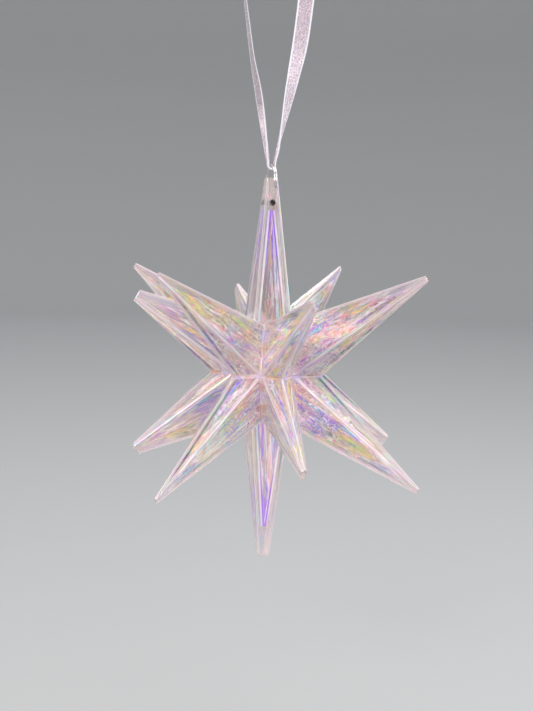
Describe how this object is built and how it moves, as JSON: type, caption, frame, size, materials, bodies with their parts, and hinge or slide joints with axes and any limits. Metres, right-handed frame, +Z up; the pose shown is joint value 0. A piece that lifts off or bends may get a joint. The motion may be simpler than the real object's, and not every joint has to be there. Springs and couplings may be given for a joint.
{
  "type": "hanging star ornament",
  "caption": "Clear iridescent plastic star of long hollow spikes, hung by a wire ring through its top spike from a shimmering ribbon loop.",
  "frame": {"origin": "inside top of the ribbon loop, where a twig or hook holds it", "axes": "+Z up along the star's long upright axis, +Y along the hole through the top spike, +X along a short spike, so that the ribbon loop opens along X"},
  "size_m": [0.1028, 0.1028, 0.2533],
  "materials": {
    "clear_plastic": "clear moulded plastic with a thin iridescent coat, glossy, pink and lavender at its edges",
    "iridescent_film": "crumpled clear film with an interference coat that shows rose, violet, blue, cyan, green and gold",
    "ring_wire": "bright plated wire with a faint rose tint",
    "ribbon": "silver metallic mesh ribbon with pale woven edges and glitter"
  },
  "bodies": {
    "ribbon_loop": {"hanging_ribbon": "ribbon", "ribbon_knot": "ribbon"},
    "ring": {"hanging_ring": "ring_wire"},
    "star": {"top_spike": "clear_plastic", "bottom_spike": "clear_plastic", "upper_long_spike_1": "clear_plastic", "upper_long_spike_2": "clear_plastic", "upper_long_spike_3": "clear_plastic", "upper_long_spike_4": "clear_plastic", "upper_short_spike_1": "clear_plastic", "upper_short_spike_2": "clear_plastic", "upper_short_spike_3": "clear_plastic", "upper_short_spike_4": "clear_plastic", "lower_long_spike_1": "clear_plastic", "lower_long_spike_2": "clear_plastic", "lower_long_spike_3": "clear_plastic", "lower_long_spike_4": "clear_plastic", "lower_short_spike_1": "clear_plastic", "lower_short_spike_2": "clear_plastic", "lower_short_spike_3": "clear_plastic", "lower_short_spike_4": "clear_plastic", "upper_long_film_1": "iridescent_film", "upper_long_film_2": "iridescent_film", "upper_long_film_3": "iridescent_film", "upper_long_film_4": "iridescent_film", "upper_short_film_1": "iridescent_film", "upper_short_film_2": "iridescent_film", "upper_short_film_3": "iridescent_film", "upper_short_film_4": "iridescent_film", "lower_long_film_1": "iridescent_film", "lower_long_film_2": "iridescent_film", "lower_long_film_3": "iridescent_film", "lower_long_film_4": "iridescent_film", "lower_short_film_1": "iridescent_film", "lower_short_film_2": "iridescent_film", "lower_short_film_3": "iridescent_film", "lower_short_film_4": "iridescent_film"}
  },
  "joints": [
    {"name": "ring_swing", "type": "hinge", "parent": "ribbon_loop", "child": "ring", "pos_m": [0, 0, -0.1035], "axis": [1, 0, 0], "range_deg": [-45, 45]},
    {"name": "star_swing", "type": "hinge", "parent": "ring", "child": "star", "pos_m": [0, 0, -0.11623], "axis": [0, 1, 0], "range_deg": [-60, 60]}
  ]
}
